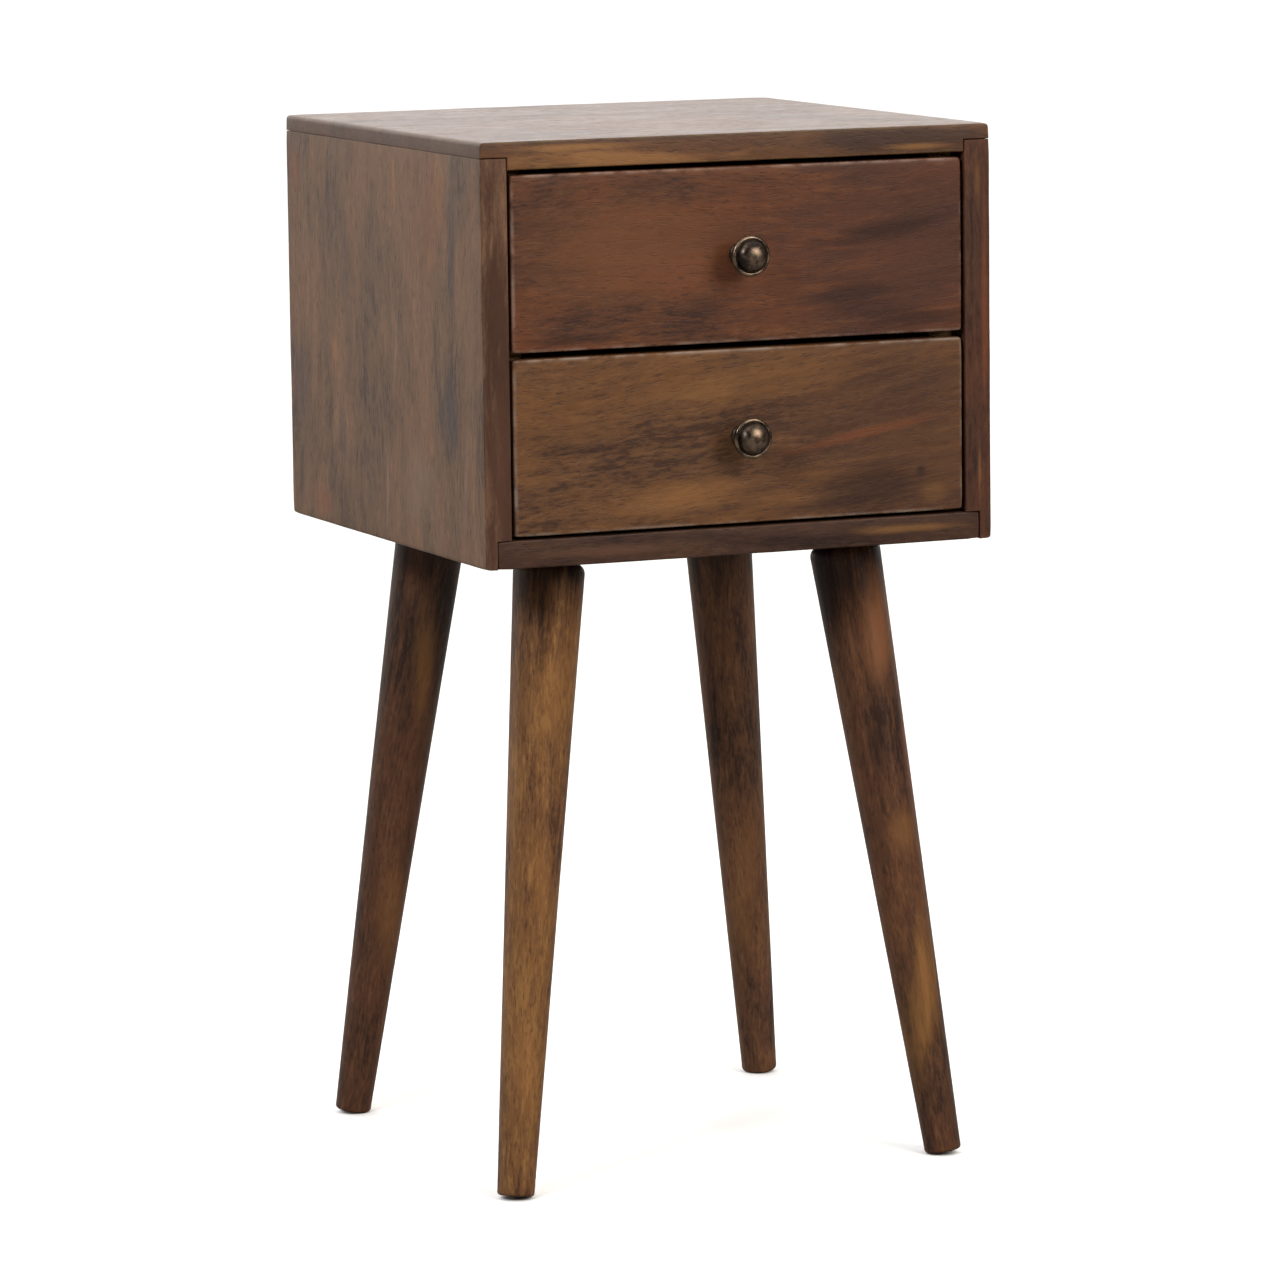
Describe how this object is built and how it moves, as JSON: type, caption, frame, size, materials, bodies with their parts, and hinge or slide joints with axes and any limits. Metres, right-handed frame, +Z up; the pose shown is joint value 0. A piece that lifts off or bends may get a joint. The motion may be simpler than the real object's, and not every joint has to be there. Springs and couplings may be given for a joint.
{
  "type": "nightstand",
  "caption": "Small square-topped wooden nightstand: a rabbeted box with inset drawers on round metal knobs, standing on splayed, tapered round legs.",
  "frame": {"origin": "on the floor, under the middle of the whole object's box, knobs included", "axes": "+Z up; the drawer fronts face -Y, so +X is the right-hand side seen from the front and +Y the back"},
  "size_m": [0.35, 0.375, 0.674],
  "materials": {
    "stained_top": "chestnut-stained mango wood, satin lacquer, golden brown",
    "stained_side": "chestnut-stained mango wood, satin lacquer, greyish brown",
    "stained_front": "chestnut-stained mango wood, satin lacquer, reddish brown",
    "stained_leg": "chestnut-stained mango wood, turned, satin lacquer",
    "bare_wood": "unfinished planed mango wood",
    "plywood": "unfinished thin plywood",
    "antique_brass": "antique brass, dark patina worn bright on the rim",
    "zinc_steel": "zinc-plated steel"
  },
  "bodies": {
    "carcass": {"back_left_leg": "stained_leg", "back_left_leg_bolt": "zinc_steel", "back_left_leg_washer": "zinc_steel", "back_panel": "plywood", "back_panel_screw_1": "zinc_steel", "back_panel_screw_2": "zinc_steel", "back_panel_screw_3": "zinc_steel", "back_panel_screw_4": "zinc_steel", "back_panel_screw_5": "zinc_steel", "back_panel_screw_6": "zinc_steel", "back_right_leg": "stained_leg", "back_right_leg_bolt": "zinc_steel", "back_right_leg_washer": "zinc_steel", "bottom_panel": "stained_front", "front_left_leg": "stained_leg", "front_left_leg_bolt": "zinc_steel", "front_left_leg_washer": "zinc_steel", "front_right_leg": "stained_leg", "front_right_leg_bolt": "zinc_steel", "front_right_leg_washer": "zinc_steel", "left_kicker": "bare_wood", "left_kicker_screw_1": "zinc_steel", "left_kicker_screw_2": "zinc_steel", "left_side_panel": "stained_side", "lower_left_bearer": "bare_wood", "lower_left_bearer_screw_1": "zinc_steel", "lower_left_bearer_screw_2": "zinc_steel", "lower_left_stop": "bare_wood", "lower_right_bearer": "bare_wood", "lower_right_bearer_screw_1": "zinc_steel", "lower_right_bearer_screw_2": "zinc_steel", "lower_right_stop": "bare_wood", "right_kicker": "bare_wood", "right_kicker_screw_1": "zinc_steel", "right_kicker_screw_2": "zinc_steel", "right_side_panel": "stained_side", "top_panel": "stained_top", "upper_left_bearer": "bare_wood", "upper_left_bearer_screw_1": "zinc_steel", "upper_left_bearer_screw_2": "zinc_steel", "upper_left_stop": "bare_wood", "upper_right_bearer": "bare_wood", "upper_right_bearer_screw_1": "zinc_steel", "upper_right_bearer_screw_2": "zinc_steel", "upper_right_stop": "bare_wood"},
    "lower_drawer": {"lower_drawer_back": "bare_wood", "lower_drawer_bottom": "plywood", "lower_drawer_front": "stained_front", "lower_drawer_knob": "antique_brass", "lower_drawer_knob_screw": "zinc_steel", "lower_drawer_left_side": "bare_wood", "lower_drawer_right_side": "bare_wood"},
    "upper_drawer": {"upper_drawer_back": "bare_wood", "upper_drawer_bottom": "plywood", "upper_drawer_front": "stained_front", "upper_drawer_knob": "antique_brass", "upper_drawer_knob_screw": "zinc_steel", "upper_drawer_left_side": "bare_wood", "upper_drawer_right_side": "bare_wood"}
  },
  "joints": [
    {"name": "lower_drawer_slide", "type": "slide", "parent": "carcass", "child": "lower_drawer", "axis": [0, -1, 0], "range_m": [0, 0.23]},
    {"name": "upper_drawer_slide", "type": "slide", "parent": "carcass", "child": "upper_drawer", "axis": [0, -1, 0], "range_m": [0, 0.23]}
  ]
}
